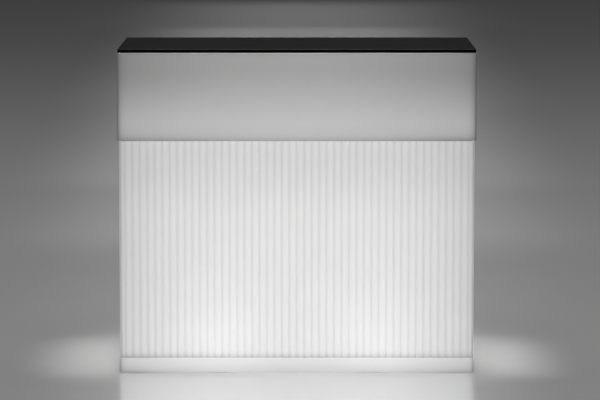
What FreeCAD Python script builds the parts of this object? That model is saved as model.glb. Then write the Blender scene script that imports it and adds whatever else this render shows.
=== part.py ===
import FreeCAD
import Part
import math
import os

# A free-standing bar counter, lit from inside. Two hollow mouldings of white translucent polyethylene
# stand on each other: a fluted body with a plinth, and a plain band. A black laminate worktop closes the top.
# The staff side is open: an upper niche under the worktop and a lower niche with two shelves.
#
# Frame: X along the counter, -Y the guests' side, +Y the staff side, +Z up.
# The origin is on the floor, under the middle of the worktop. Millimetres.

V = FreeCAD.Vector
UP = V(0, 0, 1)
DOWN = V(0, 0, -1)
RIGHT = V(1, 0, 0)
REAR = V(0, 1, 0)
FRONT = V(0, -1, 0)

os.makedirs("parts", exist_ok=True)

# ------------------------------------------------------------------ driving sizes

# Overall size, and the worktop. The band is the widest and deepest part.
counter_height = 1092.0
counter_width = 1200.0
counter_depth = 600.0
worktop_thick = 12.0
worktop_inset = 2.5         # from the band's face in to the worktop's edge
worktop_corner = 3.0
worktop_arris = 0.8

# Band, the upper moulding
band_height = 294.0
band_corner = 4.0           # radius of the upright corners
band_edge = 2.5             # radius of the level edges
band_floor = 45.0           # from the band's underside to its niche's floor
band_top_skin = 12.0        # two skins moulded together over the niche

# Body, the lower moulding
wall = 6.0
flute_inset = 5.5           # from the band's face in to the crest of a flute
flute_pitch = 25.0          # evened out along each side
flute_depth = 5.0
groove_radius = 1.5
lobe_radius = 9.5           # the rounded upright corner between two sides of flutes
plinth_top = 51.0
plinth_proud = 1.0          # from the crest of a flute out to the plinth's face
plinth_corner = 4.0
plinth_edge = 2.0
mouth_edge = 3.0            # radius round the open mouth of a niche
floor_gap = 3.0             # plinth above the floor
body_ceiling = 58.0         # from the lower niche's top to the body's top
front_thick = 154.0         # from the crest of a flute to the niche, where the lamps are
cheek_thick = 74.0          # from the crest of a flute to the niche, at both ends
niche_corner = 8.0
window_margin = 18.0        # left standing round the openings that let the light up into the band

# Foam seal between band and body
seal_thick = 2.0
seal_width = 10.0
seal_inset = 2.0

# Shelves and what carries them
shelf_count = 2
shelf_thick = 10.0
shelf_play = 2.0
shelf_setback = 15.0        # from the rear rim in to the shelf's edge
shelf_arris = 0.8
angle_leg = 30.0
angle_thick = 3.0
angle_bend = 4.0
angle_end_gap = 25.0        # from the end of an angle to the end of its shelf
rest_length = 60.0
fixing_edge = 35.0          # from the end of an angle to its screw

# Screws and inserts. thread, insert and head are radii, grip is the insert's length, length the shank's.
# The top screws cut their own thread in blind holes in the laminate, so they have no insert.
small_screw = {"thread": 2.0, "insert": 3.0, "grip": 6.0, "length": 9.0, "head": 3.8, "head_height": 2.2}
shelf_screw = {"thread": 2.5, "insert": 4.0, "grip": 12.0, "length": 14.0, "head": 4.7, "head_height": 2.7}
top_screw = {"thread": 1.75, "grip": 8.0, "length": 20.0, "head": 4.0, "head_height": 2.4}
top_hole_play = 0.2
joint_bolt = {"thread": 4.0, "insert": 6.0, "grip": 25.0, "length": 66.0, "head": 7.0, "head_height": 4.4}
link_insert = {"thread": 3.0, "insert": 4.5, "grip": 15.0}
thread_play = 0.05
screw_hole_play = 0.3       # round a shank in a drilled hole
bolt_hole_play = 0.5
insert_key = 0.5            # depth of the grooves round an insert
boss_wall = 5.0             # plastic round an insert
washer_extra = 3.0          # a washer's rim beyond the head
washer_thick = 1.5
joint_spacer = 11.0         # radius of the rings that hold band and body apart at the bolts
top_screw_columns = 4
top_screw_edge = 55.0       # from the niche's front and the rear rim to a row of top screws
joint_bolt_edge = 60.0

# Levelling feet
foot_inset = 60.0           # from the plinth's face in to a foot
foot_travel = 12.0
foot_play = 0.05            # stem in its insert
foot_thread = 5.0
foot_insert = 8.0
foot_grip = 25.0
ball_radius = 6.0
ball_play = 0.1
stem_point = 0.8            # chamfer at the stem's top
stem_slot_half = 1.0
stem_slot_depth = 3.0
stem_hole_play = 1.0        # stem in the pad, so that the pad can tilt
pad_sole = 1.5              # under the ball
pad_radius = 25.0
pad_neck = 11.0
pad_rim = 5.0
pad_arris = 1.0
pad_height = 14.0
pad_play = 1.0              # above the pad
pad_pocket_play = 4.0       # round the pad

# Lamps
plate_radius = 55.0
plate_thick = 2.5
plate_hole = 39.0           # hole in the body's floor, through which the bulb passes
plate_screw_circle = 48.0
plate_screw_count = 4
plate_play = 2.0
gasket_thick = 2.0
gasket_width = 14.0
lamp_recess = 6.0
holder_radius = 21.0
holder_height = 45.0
holder_flange = 27.0
holder_flange_thick = 3.0
holder_socket = 13.6
holder_socket_depth = 25.0
nipple_radius = 5.0
nut_across = 14.0
nut_height = 2.2
cap_play = 0.1
cap_height = 26.0
cap_foot = 1.5              # contact under the cap
cap_rings = 4
cap_ring_from = 4.0
cap_ring_pitch = 4.5
cap_ring_width = 1.8
cap_ring_depth = 1.0
globe_radius = 30.0
globe_height = 80.0
neck_flare = 1.0
neck_straight = 4.0
neck_swell = 9.0            # half way up from the cap to the globe
entry_height = 16.0         # lead above the lamp plate
entry_reach = 29.0          # end of the holder's lead entry from the lamp's axis
entry_radius = 6.0
entry_wall = 1.0            # plastic behind the lead's end

# Power panel
panel_width = 114.0
panel_height = 58.0
panel_thick = 3.0
panel_play = 1.5
panel_recess = 22.0
panel_from_end = 90.0       # middle of the panel from the end of the niche
panel_screw_edge = 5.0
panel_corner = 4.0
seal_sheet = 1.5
inlet_offset = -22.0
inlet_flange = 22.0
inlet_flange_thick = 3.0
inlet_corner = 3.0
inlet_radius = 18.0
inlet_length = 34.0
well_radius = 15.0
well_depth = 24.0
pin_radius = 2.0
pin_circle = 8.5
pin_count = 3
pin_free = 15.0
pin_seat = 8.0
lid_gap = 0.3
lid_thick = 4.0
lid_clear = 6.5             # hinge line to the lid's wide part
hinge_rise = 3.5
hinge_pin = 1.5
hinge_play = 0.05
knuckle_radius = 3.2
knuckle_half = 14.0
lug_thick = 5.5
lug_gap = 0.5
lug_root = 4.0              # a lug's or tongue's length inside the flange or lid
lug_step = 1.0
lug_relief = 0.3
tab_half = 6.0
tab_drop = 3.5
tab_thick = 6.0
switch_offset = 32.0
bezel_half_x = 12.5
bezel_half_z = 15.5
bezel_thick = 2.0
bezel_corner = 1.5
switch_half_x = 10.5
switch_half_z = 14.5
switch_depth = 24.0
rocker_half_x = 8.3
rocker_half_z = 11.2
rocker_side_play = 0.3
rocker_end_play = 1.6
rocker_well = 18.0
rocker_pivot = 4.0          # behind the panel's face
rocker_tilt = 10.0
rocker_wing = 2.0           # a wing's tip above the housing's face, and its thickness below it
rocker_dip = 0.5            # the middle of the rocker below the housing's face
rocker_keel = 1.0
trunnion_radius = 1.5
trunnion_length = 1.5
trunnion_play = 0.05
box_half_x = 46.0
box_half_z = 21.5
box_depth = 40.0
box_wall = 2.5
box_lap_x = 1.0             # the opening behind the panel is smaller than the box by this
box_lap_z = 1.5

# Internal leads
lead_radius = 3.5
lead_spread = 20.0          # each lead from the middle of the panel
lead_straight = 40.0        # straight out of its gland
lead_down = 110.0           # from the back box to where it has come down to the floor
lead_rise_from = 125.0      # from the lamp's axis to where it starts to rise to the holder
lead_level_from = 65.0      # from the lamp's axis to where it runs level into the holder
right_drift = 15.0
right_turn = 150.0
left_drift = 20.0
left_lane = 190.0           # from the back box to the lane in which the left lead crosses the counter
left_slant = 10.0
left_turn = 90.0
gland_across = 16.0
gland_hex = 5.0
gland_dome = 8.0
gland_dome_radius = 6.5
clip_base = 2.0
clip_wall = 2.0
clip_width = 8.0
clip_foot = 22.0
clip_shares = (0.25, 0.5, 0.75)

# Vent plug in the body's floor
vent_radius = 8.0
vent_flange = 11.0
vent_flange_thick = 1.8
vent_y = 150.0
vent_grip = 1.0             # barrel above the floor it plugs

# Inserts in the rear rim that link two counters
link_share = 0.2            # of the niche's height, from its floor and from its top

# ------------------------------------------------------------------ places worked out from them

band_x = counter_width / 2
band_y = counter_depth / 2
half_top_x = band_x - worktop_inset
half_top_y = band_y - worktop_inset
worktop_z = counter_height - worktop_thick
band_z = worktop_z - band_height
shoulder_z = band_z - seal_thick

crest_x = band_x - flute_inset
crest_front = flute_inset - band_y
plinth_x = crest_x + plinth_proud
plinth_y = plinth_proud - crest_front
body_rear = plinth_y

niche_x = crest_x - cheek_thick
niche_front = crest_front + front_thick
floor_top = floor_gap + wall

pocket_height = panel_height + 2 * panel_play
panel_z = floor_top + pocket_height / 2
niche_floor = floor_top + pocket_height + wall
niche_top = shoulder_z - body_ceiling
upper_niche_floor = band_z + band_floor
upper_niche_top = worktop_z - band_top_skin

inner_x = crest_x - flute_depth - wall
inner_front = crest_front + flute_depth + wall
inner_rear = body_rear - wall

compartment = (niche_top - niche_floor - shelf_count * shelf_thick) / (shelf_count + 1)
shelf_levels = [niche_floor + compartment + i * (compartment + shelf_thick) for i in range(shelf_count)]
shelf_names = ["lower", "upper"] + [f"upper_{i}" for i in range(3, shelf_count + 1)]
shelf_front = niche_front + shelf_play
shelf_rear = body_rear - shelf_setback

lamp_x = niche_x / 2
lamp_y = (inner_front + niche_front - wall) / 2
lamp_seat = floor_gap + lamp_recess
plate_top = lamp_seat - gasket_thick
plate_under = plate_top - plate_thick
holder_top = plate_top + holder_height
socket_floor = holder_top - holder_socket_depth
cap_top = socket_floor + cap_foot + cap_height
entry_z = plate_top + entry_height

foot_x = plinth_x - foot_inset
foot_y = plinth_y - foot_inset
pad_pocket_top = pad_height + pad_play
foot_insert_top = pad_pocket_top + foot_grip
ball_z = pad_sole + ball_play + ball_radius
stem_top = foot_insert_top + foot_travel

panel_x = niche_x - panel_from_end
pocket_back = body_rear - panel_recess
panel_back = pocket_back + seal_sheet
panel_face = panel_back + panel_thick
box_rear = pocket_back - wall
box_front = box_rear - box_depth
inlet_x = panel_x + inlet_offset
inlet_face = panel_face + inlet_flange_thick
hinge_y = inlet_face + lid_gap + lid_thick / 2
hinge_z = panel_z + inlet_flange + hinge_rise
switch_x = panel_x + switch_offset
bezel_face = panel_face + bezel_thick
pivot_y = panel_face - rocker_pivot

lane_z = floor_top + clip_base + lead_radius
link_x = (niche_x + crest_x) / 2
link_rise = link_share * (niche_top - niche_floor)
link_levels = [niche_floor + link_rise, niche_top - link_rise]


# ------------------------------------------------------------------ helpers

def block(x, y, z):
    return Part.makeBox(x[1] - x[0], y[1] - y[0], z[1] - z[0], V(x[0], y[0], z[0]))


def rod(radius, base, height, axis=UP):
    return Part.makeCylinder(radius, height, base, axis)


def tube(outer, inner, base, height, axis=UP):
    return rod(outer, base, height, axis).cut(rod(inner, base, height, axis))


def group(shapes):
    return Part.makeCompound(shapes)


def about(centre, half):
    return (centre - half, centre + half)


def edges_along(shape, axis):
    found = []
    for edge in shape.Edges:
        if isinstance(edge.Curve, Part.Line) and abs(abs(edge.Curve.Direction.dot(axis)) - 1) < 1e-6:
            found.append(edge)
    return found


def edges_at(shape, z):
    # The edges that lie in the level plane at this height.
    return [e for e in shape.Edges if abs(e.BoundBox.ZMin - z) < 1e-6 and abs(e.BoundBox.ZMax - z) < 1e-6]


def end_edge(shape, point, axis):
    # The round edge of a rod's end face, whose middle is at the point.
    rims = [e for e in shape.Edges if isinstance(e.Curve, Part.Circle)]
    return [e for e in rims if abs((e.Curve.Center - point).dot(axis)) < 1e-6]


def upright_rounded(x, y, z, radius):
    box = block(x, y, z)
    return box.makeFillet(radius, edges_along(box, UP))


def prism(points, along):
    # A closed outline through the points, extruded by a vector.
    outline = Part.makePolygon(points + [points[0]])
    return Part.Face(outline).extrude(along)


def hexagon(across, base, height, axis=UP):
    radius = across / math.sqrt(3)
    side = RIGHT if abs(axis.x) < 0.5 else REAR
    other = axis.cross(side)
    corners = []
    for i in range(6):
        angle = math.radians(60 * i)
        corners.append(base + side * (radius * math.cos(angle)) + other * (radius * math.sin(angle)))
    return prism(corners, axis * height)


def insert(size, base, axis=UP):
    # A threaded brass sleeve with two grooves round it that the plastic keys into.
    body = tube(size["insert"], size["thread"], base, size["grip"], axis)
    key = size["insert"] - insert_key
    width = size["grip"] / 8
    for share in (0.3, 0.7):
        at = base + axis * (size["grip"] * share - width / 2)
        body = body.cut(tube(size["insert"] + 1, key, at, width, axis))
    return body


def screw(size, seat, axis):
    # A button-head screw: the head's underside is on the seat, and the shank runs along the axis.
    head = rod(size["head"], seat, size["head_height"], axis * -1)
    crown = seat - axis * size["head_height"]
    head = head.makeFillet(0.6 * size["head_height"], end_edge(head, crown, axis))
    shank = rod(size["thread"] - thread_play, seat, size["length"], axis)
    socket = hexagon(1.1 * size["thread"], crown, 0.6 * size["head_height"], axis)
    return head.fuse(shank).cut(socket)


def washer(size, play, seat, axis):
    return tube(size["head"] + washer_extra, size["thread"] + play, seat, washer_thick, axis)


def turned(points, x, y):
    # A solid of revolution about the upright line through x, y. Each point is (radius, z), and a middle point
    # between two others is written (radius, z, "arc"): the curve goes through it.
    edges = []
    i = 0
    while i < len(points) - 1:
        a = V(points[i][0], 0, points[i][1])
        b = V(points[i + 1][0], 0, points[i + 1][1])
        if len(points[i + 1]) == 3:
            c = V(points[i + 2][0], 0, points[i + 2][1])
            edges.append(Part.Arc(a, b, c).toShape())
            i += 2
        else:
            edges.append(Part.LineSegment(a, b).toShape())
            i += 1
    last = V(points[-1][0], 0, points[-1][1])
    first = V(points[0][0], 0, points[0][1])
    edges.append(Part.LineSegment(last, first).toShape())
    solid = Part.Face(Part.Wire(edges)).revolve(V(0, 0, 0), UP, 360)
    solid.translate(V(x, y, 0))
    return solid


# ------------------------------------------------------------------ fluted body

def touch_point(groove, lobe):
    # Where the round bottom of a groove runs into the lobe beside it.
    reach = groove_radius / math.dist(groove, lobe)
    return (groove[0] + reach * (lobe[0] - groove[0]), groove[1] + reach * (lobe[1] - groove[1]))


def fluted_side(length):
    # One side of flutes, as (distance along it, depth in from the crest). Each groove is three points, with
    # the crest of the rib after it. The end lobes have their own radius, and the ribs share what is left.
    end = lobe_radius + math.sqrt(2 * flute_depth * (lobe_radius + groove_radius) - flute_depth ** 2)
    ribs = max(1, round((length - 2 * end) / flute_pitch))
    pitch = (length - 2 * end) / ribs
    rib_radius = (pitch ** 2 / 4 + flute_depth ** 2 - 2 * flute_depth * groove_radius) / (2 * flute_depth)
    centre_depth = flute_depth - groove_radius
    grooves = []
    for i in range(ribs + 1):
        at = end + i * pitch
        before = (lobe_radius, lobe_radius) if i == 0 else (at - pitch / 2, rib_radius)
        after = (length - lobe_radius, lobe_radius) if i == ribs else (at + pitch / 2, rib_radius)
        grooves.append({
            "in": touch_point((at, centre_depth), before),
            "bottom": (at, flute_depth),
            "out": touch_point((at, centre_depth), after),
            "crest": (at + pitch / 2, 0.0),
        })
    return grooves


def fluted_outline(z):
    # Anticlockwise from above: the front, the right end, the plain rear and the left end.
    def front(p):
        return V(p[0] - crest_x, crest_front + p[1], z)

    def right_end(p):
        return V(crest_x - p[1], crest_front + p[0], z)

    def left_end(p):
        return V(p[1] - crest_x, body_rear - p[0], z)

    end_length = body_rear - crest_front
    edges = []
    lobe_ends = []
    for side, length in ((front, 2 * crest_x), (right_end, end_length), (left_end, end_length)):
        grooves = fluted_side(length)
        for i, groove in enumerate(grooves):
            edges.append(Part.Arc(side(groove["in"]), side(groove["bottom"]), side(groove["out"])).toShape())
            if i < len(grooves) - 1:
                following = side(grooves[i + 1]["in"])
                edges.append(Part.Arc(side(groove["out"]), side(groove["crest"]), following).toShape())
        lobe_ends.append((side(grooves[0]["in"]), side(grooves[-1]["out"])))
    slant = lobe_radius * (1 - math.sqrt(0.5))
    right_mid = V(crest_x - slant, crest_front + slant, z)
    left_mid = V(slant - crest_x, crest_front + slant, z)
    edges.append(Part.Arc(lobe_ends[0][1], right_mid, lobe_ends[1][0]).toShape())
    edges.append(Part.Arc(lobe_ends[2][1], left_mid, lobe_ends[0][0]).toShape())
    rear_right = V(crest_x - lobe_radius, body_rear, z)
    rear_left = V(lobe_radius - crest_x, body_rear, z)
    edges.append(Part.Arc(lobe_ends[1][1], V(crest_x - slant, body_rear - slant, z), rear_right).toShape())
    edges.append(Part.Arc(rear_left, V(slant - crest_x, body_rear - slant, z), lobe_ends[2][0]).toShape())
    edges.append(Part.LineSegment(rear_right, rear_left).toShape())
    return Part.Wire(Part.__sortEdges__(edges))


def niche_hollow(floor, top):
    # The space of a niche, open at the rear, with round inner corners.
    hollow = block((-niche_x, niche_x), (niche_front, band_y + wall), (floor, top))
    return hollow.makeFillet(niche_corner, edges_along(hollow, REAR))


def niche_walls(floor, top):
    return block((-niche_x - wall, niche_x + wall), (niche_front - wall, band_y + wall), (floor, top))


def mouth_edges(shell, y, floor, top):
    # The edges round a niche's opening in the rear face.
    found = []
    for edge in shell.Edges:
        box = edge.BoundBox
        middle = edge.CenterOfMass
        flat = abs(box.YMin - y) < 1e-6 and abs(box.YMax - y) < 1e-6
        if flat and abs(middle.x) <= niche_x + 1e-6 and floor - 1e-6 <= middle.z <= top + 1e-6:
            found.append(edge)
    return found


def device_window(y0, y1):
    # The opening behind the power panel, through which its devices reach into the back box.
    return block(about(panel_x, box_half_x - box_lap_x), (y0, y1), about(panel_z, box_half_z - box_lap_z))


def light_windows(z0, z1):
    # Openings in the two skins that meet, so that the lamps in the body light the band as well.
    front_y = (inner_front + window_margin, niche_front - wall - window_margin)
    front = block(about(0, niche_x), front_y, (z0, z1))
    side_x = (niche_x + wall + window_margin / 2, inner_x - window_margin / 2)
    side_y = (niche_front, inner_rear - 2 * window_margin)
    right = block(side_x, side_y, (z0, z1))
    left = block((-side_x[1], -side_x[0]), side_y, (z0, z1))
    return [front, right, left]


def joint_points():
    columns = (joint_bolt_edge - niche_x, 0.0, niche_x - joint_bolt_edge)
    rows = (niche_front + joint_bolt_edge, body_rear - joint_bolt_edge)
    return [(x, y) for x in columns for y in rows]


def lamp_points():
    return {"left": -lamp_x, "right": lamp_x}


def plate_screw_points(x):
    points = []
    for i in range(plate_screw_count):
        angle = math.radians(360 / plate_screw_count * (i + 0.5))
        away = plate_screw_circle * V(math.cos(angle), math.sin(angle), 0)
        points.append((x + away.x, lamp_y + away.y))
    return points


def panel_screw_points():
    reach_x = panel_width / 2 - panel_screw_edge
    reach_z = panel_height / 2 - panel_screw_edge
    return [(panel_x + a * reach_x, panel_z + b * reach_z) for a in (-1, 1) for b in (-1, 1)]


def angle_span():
    return (shelf_front + angle_end_gap, shelf_rear - angle_end_gap)


def shelf_fixings():
    # Every screw under the shelves: the point on the niche's wall, and the direction into the wall.
    found = []
    start, end = angle_span()
    for level in shelf_levels:
        z = level - angle_thick - (angle_leg - angle_thick) / 2
        for side in (-1, 1):
            for y in (start + fixing_edge, end - fixing_edge):
                found.append((V(side * niche_x, y, z), V(side, 0, 0)))
        for side in (-1, 1):
            found.append((V(side * rest_length / 4, niche_front, z), FRONT))
    return found


def foot_points():
    return {
        "front_left": (-foot_x, -foot_y),
        "front_right": (foot_x, -foot_y),
        "rear_left": (-foot_x, foot_y),
        "rear_right": (foot_x, foot_y),
    }


def link_points():
    return [(side * link_x, z) for side in (-1, 1) for z in link_levels]


def fluted_body():
    trunk_z = (floor_gap + plinth_top) / 2
    trunk = Part.Face(fluted_outline(trunk_z)).extrude(V(0, 0, shoulder_z - trunk_z))
    plinth_span = (floor_gap, plinth_top)
    plinth = upright_rounded(about(0, plinth_x), about(0, plinth_y), plinth_span, plinth_corner)
    plinth = plinth.makeFillet(plinth_edge, edges_at(plinth, floor_gap) + edges_at(plinth, plinth_top))
    shell = trunk.fuse(plinth)

    hollow = block(about(0, inner_x), (inner_front, inner_rear), (floor_top, shoulder_z - wall))
    plinth_hollow = (wall - plinth_y, inner_rear)
    hollow = hollow.fuse(block(about(0, plinth_x - wall), plinth_hollow, (floor_top, plinth_top - wall)))
    hollow = hollow.cut(niche_walls(niche_floor - wall, niche_top + wall))
    shell = shell.cut(hollow)

    bosses = []
    cuts = [niche_hollow(niche_floor, niche_top)]
    cuts += light_windows(shoulder_z - 2 * wall, shoulder_z + wall)
    for x, y in joint_points():
        radius = joint_bolt["insert"] + boss_wall
        bosses.append(rod(radius, V(x, y, shoulder_z), joint_bolt["grip"] + boss_wall, DOWN))
        cuts.append(rod(joint_bolt["insert"], V(x, y, shoulder_z), joint_bolt["grip"], DOWN))
    for x, y in foot_points().values():
        pocket = pad_radius + pad_pocket_play
        bosses.append(rod(pocket + wall, V(x, y, floor_gap), pad_pocket_top + wall - floor_gap))
        bosses.append(rod(foot_insert + boss_wall, V(x, y, floor_gap), foot_insert_top - floor_gap))
        cuts.append(rod(pocket, V(x, y, 0), pad_pocket_top))
        cuts.append(rod(foot_insert, V(x, y, 0), foot_insert_top))
    for x in lamp_points().values():
        radius = plate_radius + plate_play + wall
        bosses.append(rod(radius, V(x, lamp_y, floor_gap), lamp_seat + wall - floor_gap))
        cuts.append(rod(plate_radius + plate_play, V(x, lamp_y, 0), lamp_seat))
        cuts.append(rod(plate_hole, V(x, lamp_y, 0), lamp_seat + 2 * wall))
        for sx, sy in plate_screw_points(x):
            cuts.append(rod(small_screw["insert"], V(sx, sy, 0), lamp_seat + small_screw["grip"]))
    pocket_x = about(panel_x, panel_width / 2 + panel_play)
    pocket_z = (floor_top, niche_floor - wall)
    bosses.append(block((pocket_x[0] - wall, pocket_x[1] + wall), (pocket_back - wall, body_rear), pocket_z))
    cuts.append(block(pocket_x, (pocket_back, body_rear + wall), pocket_z))
    cuts.append(device_window(pocket_back - 2 * wall, pocket_back + wall))
    for x, z in panel_screw_points():
        bosses.append(rod(small_screw["insert"] + wall / 2, V(x, pocket_back, z), 2 * wall, FRONT))
        cuts.append(rod(small_screw["insert"], V(x, pocket_back, z), small_screw["grip"], FRONT))
    for point, axis in shelf_fixings():
        radius = shelf_screw["insert"] + boss_wall
        bosses.append(rod(radius, point, shelf_screw["grip"] + boss_wall, axis))
        cuts.append(rod(shelf_screw["insert"], point, shelf_screw["grip"], axis))
    for x, z in link_points():
        radius = link_insert["insert"] + boss_wall
        bosses.append(rod(radius, V(x, body_rear, z), link_insert["grip"] + boss_wall, FRONT))
        cuts.append(rod(link_insert["insert"], V(x, body_rear, z), link_insert["grip"], FRONT))
    cuts.append(rod(vent_radius, V(0, vent_y, 0), floor_top + wall))
    shell = shell.fuse(bosses).cut(cuts).removeSplitter()
    return shell.makeFillet(mouth_edge, mouth_edges(shell, body_rear, niche_floor, niche_top))


# ------------------------------------------------------------------ band, seal and worktop

def top_screw_points():
    rows = (niche_front + top_screw_edge, body_rear - top_screw_edge)
    step = 2 * niche_x / top_screw_columns
    return [(-niche_x + (i + 0.5) * step, y) for i in range(top_screw_columns) for y in rows]


def upper_band():
    shell = upright_rounded(about(0, band_x), about(0, band_y), (band_z, worktop_z), band_corner)
    shell = shell.makeFillet(band_edge, edges_at(shell, band_z) + edges_at(shell, worktop_z))
    hollow = block(about(0, band_x - wall), about(0, band_y - wall), (band_z + wall, worktop_z - wall))
    hollow = hollow.cut(niche_walls(upper_niche_floor - wall, worktop_z + wall))
    shell = shell.cut(hollow)
    posts = []
    cuts = [niche_hollow(upper_niche_floor, upper_niche_top)]
    cuts += light_windows(band_z - wall, band_z + 2 * wall)
    for x, y in joint_points():
        radius = joint_bolt["head"] + washer_extra + boss_wall
        posts.append(rod(radius, V(x, y, band_z), band_floor))
        hole = joint_bolt["thread"] + bolt_hole_play
        cuts.append(rod(hole, V(x, y, band_z - wall), band_floor + 2 * wall))
    for x, y in top_screw_points():
        hole = top_screw["thread"] + top_hole_play
        cuts.append(rod(hole, V(x, y, upper_niche_top - wall), band_top_skin + 2 * wall))
    shell = shell.fuse(posts).cut(cuts).removeSplitter()
    return shell.makeFillet(mouth_edge, mouth_edges(shell, band_y, upper_niche_floor, upper_niche_top))


def band_seal():
    outer_x = inner_x + wall - seal_inset
    front = inner_front - wall + seal_inset
    rear = body_rear - seal_inset
    ring = block(about(0, outer_x), (front, rear), (shoulder_z, band_z))
    inside_y = (front + seal_width, rear - seal_width)
    return ring.cut(block(about(0, outer_x - seal_width), inside_y, (shoulder_z, band_z)))


def worktop():
    span = (worktop_z, counter_height)
    sheet = upright_rounded(about(0, half_top_x), about(0, half_top_y), span, worktop_corner)
    sheet = sheet.makeChamfer(worktop_arris, edges_at(sheet, worktop_z) + edges_at(sheet, counter_height))
    points = top_screw_points()
    return sheet.cut([rod(top_screw["thread"], V(x, y, worktop_z), top_screw["grip"]) for x, y in points])


def top_fixings(nodes):
    seats = [V(x, y, upper_niche_top) for x, y in top_screw_points()]
    nodes["worktop_washers"] = group([washer(top_screw, top_hole_play, p, DOWN) for p in seats])
    nodes["worktop_screws"] = group([screw(top_screw, p + DOWN * washer_thick, UP) for p in seats])


def joint_fixings(nodes):
    seats = [V(x, y, upper_niche_floor) for x, y in joint_points()]
    under = [V(p.x, p.y, shoulder_z) for p in seats]
    hole = joint_bolt["thread"] + bolt_hole_play
    nodes["joint_inserts"] = group([insert(joint_bolt, p, DOWN) for p in under])
    nodes["joint_spacers"] = group([tube(joint_spacer, hole, p, seal_thick) for p in under])
    nodes["joint_washers"] = group([washer(joint_bolt, bolt_hole_play, p, UP) for p in seats])
    nodes["joint_bolts"] = group([screw(joint_bolt, p + UP * washer_thick, DOWN) for p in seats])


# ------------------------------------------------------------------ shelves

def shelf(level):
    sheet = block(about(0, niche_x - shelf_play), (shelf_front, shelf_rear), (level, level + shelf_thick))
    return sheet.makeChamfer(shelf_arris, sheet.Edges)


def folded_angle(corner, away, run, length):
    # An upright leg against a wall and a level leg under the shelf, with a round outside bend. The corner is
    # where wall and shelf meet, and away points from the wall into the niche.
    corners = [(0, 0), (angle_leg, 0), (angle_leg, angle_thick)]
    corners += [(angle_thick, angle_thick), (angle_thick, angle_leg), (0, angle_leg)]
    bar = prism([corner + away * out + DOWN * down for out, down in corners], run * length)
    middle = corner + run * (length / 2)
    bend = [e for e in edges_along(bar, run) if (e.CenterOfMass - middle).Length < 1e-6]
    return bar.makeFillet(angle_bend, bend)


def shelf_supports(nodes):
    start, end = angle_span()
    fixings = shelf_fixings()
    hole = shelf_screw["thread"] + screw_hole_play
    drills = [rod(hole, point - axis * angle_leg, 2 * angle_leg, axis) for point, axis in fixings]
    for name, level in zip(shelf_names, shelf_levels):
        for side, side_name in ((-1, "left"), (1, "right")):
            corner = V(side * niche_x, start, level)
            bar = folded_angle(corner, V(-side, 0, 0), REAR, end - start)
            nodes[f"shelf_angle_{name}_{side_name}"] = bar.cut(drills)
        corner = V(-rest_length / 2, niche_front, level)
        nodes[f"shelf_rest_{name}"] = folded_angle(corner, REAR, RIGHT, rest_length).cut(drills)
        nodes[f"{name}_shelf"] = shelf(level)
    nodes["shelf_inserts"] = group([insert(shelf_screw, point, axis) for point, axis in fixings])
    screws = [screw(shelf_screw, point - axis * angle_thick, axis) for point, axis in fixings]
    nodes["shelf_screws"] = group(screws)


# ------------------------------------------------------------------ levelling feet

def foot_pad(x, y):
    profile = [(0, 0), (pad_radius, 0), (pad_radius, pad_rim), (pad_neck, pad_height - pad_arris)]
    profile += [(pad_neck - pad_arris, pad_height), (0, pad_height)]
    body = turned(profile, x, y)
    ball_seat = Part.makeSphere(ball_radius + ball_play, V(x, y, ball_z))
    return body.cut([ball_seat, rod(foot_thread + stem_hole_play, V(x, y, ball_z), pad_height)])


def foot_stem(x, y):
    stem = rod(foot_thread - foot_play, V(x, y, ball_z), stem_top - ball_z)
    stem = stem.makeChamfer(stem_point, edges_at(stem, stem_top))
    slot = block(about(x, foot_thread), about(y, stem_slot_half), (stem_top - stem_slot_depth, stem_top))
    return stem.fuse(Part.makeSphere(ball_radius, V(x, y, ball_z))).cut(slot)


def feet(nodes):
    size = {"thread": foot_thread, "insert": foot_insert, "grip": foot_grip}
    points = foot_points()
    nodes["foot_inserts"] = group([insert(size, V(x, y, pad_pocket_top)) for x, y in points.values()])
    for name, (x, y) in points.items():
        nodes[f"foot_pad_{name}"] = foot_pad(x, y)
        nodes[f"foot_stem_{name}"] = foot_stem(x, y)


# ------------------------------------------------------------------ lamps

def lamp_plate(x):
    plate = rod(plate_radius, V(x, lamp_y, plate_under), plate_thick)
    holes = [rod(nipple_radius, V(x, lamp_y, 0), plate_top)]
    drill = small_screw["thread"] + screw_hole_play
    holes += [rod(drill, V(sx, sy, 0), plate_top) for sx, sy in plate_screw_points(x)]
    return plate.cut(holes)


def lamp_gasket(x):
    ring = tube(plate_radius, plate_radius - gasket_width, V(x, lamp_y, plate_top), gasket_thick)
    hole = small_screw["thread"] + screw_hole_play
    return ring.cut([rod(hole, V(sx, sy, 0), lamp_seat) for sx, sy in plate_screw_points(x)])


def lamp_holder(x):
    base = V(x, lamp_y, plate_top)
    body = rod(holder_radius, base, holder_height).fuse(rod(holder_flange, base, holder_flange_thick))
    body = body.fuse(rod(nipple_radius, base, plate_thick + nut_height, DOWN))
    entry = V(x, lamp_y, entry_z)
    body = body.fuse(rod(entry_radius, entry, entry_reach, REAR))
    bore = rod(lead_radius, entry + REAR * (holder_radius + entry_wall), entry_reach, REAR)
    socket = rod(holder_socket, V(x, lamp_y, socket_floor), holder_socket_depth + 1)
    return body.cut([bore, socket])


def bulb_cap(x):
    bottom = socket_floor + cap_foot
    radius = holder_socket - cap_play
    cap = rod(radius, V(x, lamp_y, bottom), cap_height)
    rings = []
    for i in range(cap_rings):
        at = V(x, lamp_y, bottom + cap_ring_from + cap_ring_pitch * i)
        rings.append(tube(radius + 1, radius - cap_ring_depth, at, cap_ring_width))
    return cap.fuse(rod(radius / 2, V(x, lamp_y, socket_floor), cap_foot + 1)).cut(rings)


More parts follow.
